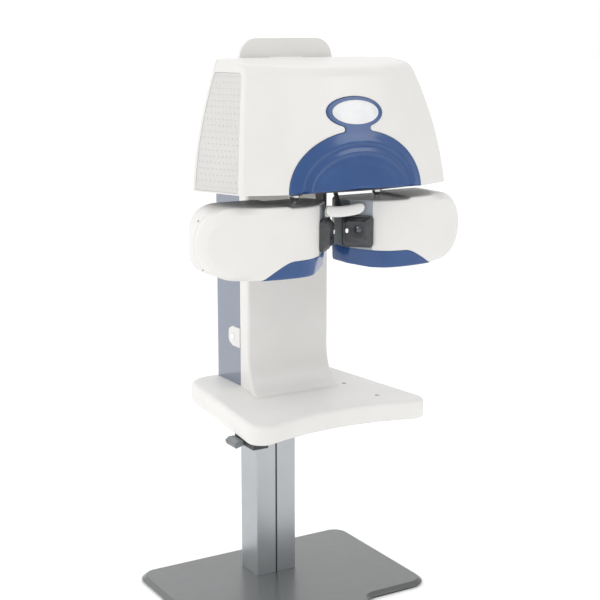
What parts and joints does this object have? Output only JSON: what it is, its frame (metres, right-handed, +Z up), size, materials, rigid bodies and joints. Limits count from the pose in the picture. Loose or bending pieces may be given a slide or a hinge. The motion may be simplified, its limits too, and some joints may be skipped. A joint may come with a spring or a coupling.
{
  "type": "phoropter",
  "caption": "Floor-standing automated phoropter: bowed hood over two optical heads with eye windows, forehead rest, table and lifting column on a flat base plate with a front tongue.",
  "frame": {"origin": "on the floor, under the centre of the lifting column", "axes": "+Z up, -Y towards the patient, +X to the right of a person who looks at the front"},
  "size_m": [0.7256, 0.632, 1.435],
  "materials": {
    "base_mat": "matte black rubber sheet under the base",
    "base_paint": "fine-textured mid grey powder coat",
    "column_aluminium": "satin anodised extrusion",
    "inner_aluminium": "plain milled",
    "bare_steel": "polished or zinc plated steel",
    "white_cover": "satin warm white moulding with a fine grain",
    "emblem_white": "blank pearl white oval",
    "pad_white": "soft white silicone-like moulding",
    "blue_panel": "glossy deep blue",
    "black_plastic": "satin black",
    "grey_plastic": "satin mid grey",
    "window_glass": "coated dark glass",
    "lamp": "clear white lamp"
  },
  "bodies": {
    "stand": {"floor_mat": "base_mat", "base_plate": "base_paint", "column_outer": "column_aluminium", "actuator_motor": "black_plastic", "actuator_tube": "inner_aluminium"},
    "lift": {"column_inner": "column_aluminium", "actuator_rod": "bare_steel", "table_bracket": "bare_steel", "table_top": "white_cover", "table_insert_rear": "grey_plastic", "table_insert_front": "grey_plastic", "height_switch_housing": "black_plastic", "front_shield": "white_cover", "rear_cover": "blue_panel", "upright_mast": "inner_aluminium", "power_switch_plate": "white_cover", "hood_shell": "white_cover", "hood_rear_cover": "white_cover", "side_grille_left": "white_cover", "side_grille_right": "white_cover", "arch_panel": "blue_panel", "emblem_plate": "emblem_white", "hood_tray": "black_plastic", "hood_bracket": "bare_steel", "power_supply": "inner_aluminium", "pd_rail_front": "bare_steel", "pd_rail_rear": "bare_steel", "rail_support_left": "inner_aluminium", "rail_support_right": "inner_aluminium", "rear_handle": "white_cover", "forehead_bracket": "black_plastic"},
    "height_rocker": {"height_rocker": "grey_plastic"},
    "power_button": {"power_button": "white_cover"},
    "forehead_rest": {"forehead_rod": "black_plastic", "forehead_pad": "pad_white"},
    "carriage_left": {"pd_carriage_left": "inner_aluminium", "head_spindle_left": "bare_steel"},
    "head_left": {"head_front_shell_left": "white_cover", "head_rear_shell_left": "white_cover", "head_bottom_cover_left": "blue_panel", "head_frame_left": "inner_aluminium", "window_bezel_left": "black_plastic", "window_lens_left": "window_glass", "window_lamp_left": "lamp", "objective_barrel_left": "black_plastic", "target_display_left": "window_glass"},
    "lens_disc_left": {"trial_lens_disc_left": "inner_aluminium"},
    "carriage_right": {"pd_carriage_right": "inner_aluminium", "head_spindle_right": "bare_steel"},
    "head_right": {"head_front_shell_right": "white_cover", "head_rear_shell_right": "white_cover", "head_bottom_cover_right": "blue_panel", "head_frame_right": "inner_aluminium", "window_bezel_right": "black_plastic", "window_lens_right": "window_glass", "window_lamp_right": "lamp", "objective_barrel_right": "black_plastic", "target_display_right": "window_glass"},
    "lens_disc_right": {"trial_lens_disc_right": "inner_aluminium"}
  },
  "joints": [
    {"name": "column_lift", "type": "slide", "parent": "stand", "child": "lift", "axis": [0, 0, 1], "range_m": [0, 0.26]},
    {"name": "height_rocker", "type": "hinge", "parent": "lift", "child": "height_rocker", "pos_m": [-0.238, -0.282, 0.493], "axis": [0, 1, 0], "range_deg": [-8, 8], "stiffness_Nm_per_rad": 0.6},
    {"name": "power_button", "type": "slide", "parent": "lift", "child": "power_button", "axis": [1, 0, 0], "range_m": [0, 0.002], "stiffness_N_per_m": 500},
    {"name": "forehead_adjust", "type": "slide", "parent": "lift", "child": "forehead_rest", "axis": [0, -1, 0], "range_m": [0, 0.015]},
    {"name": "pd_left", "type": "slide", "parent": "lift", "child": "carriage_left", "axis": [-1, 0, 0], "range_m": [-0.008, 0.004]},
    {"name": "converge_left", "type": "hinge", "parent": "carriage_left", "child": "head_left", "pos_m": [-0.115, -0.336, 1.05], "axis": [0, 0, -1], "range_deg": [0, 5]},
    {"name": "lens_disc_left", "type": "hinge", "parent": "head_left", "child": "lens_disc_left", "pos_m": [-0.06977, -0.33923, 0.9619], "axis": [-0.7071, 0.7071, 0], "continuous": true},
    {"name": "pd_right", "type": "slide", "parent": "lift", "child": "carriage_right", "axis": [1, 0, 0], "range_m": [-0.008, 0.004]},
    {"name": "converge_right", "type": "hinge", "parent": "carriage_right", "child": "head_right", "pos_m": [0.115, -0.336, 1.05], "axis": [0, 0, 1], "range_deg": [0, 5]},
    {"name": "lens_disc_right", "type": "hinge", "parent": "head_right", "child": "lens_disc_right", "pos_m": [0.06977, -0.33923, 0.9619], "axis": [0.7071, 0.7071, 0], "continuous": true}
  ]
}
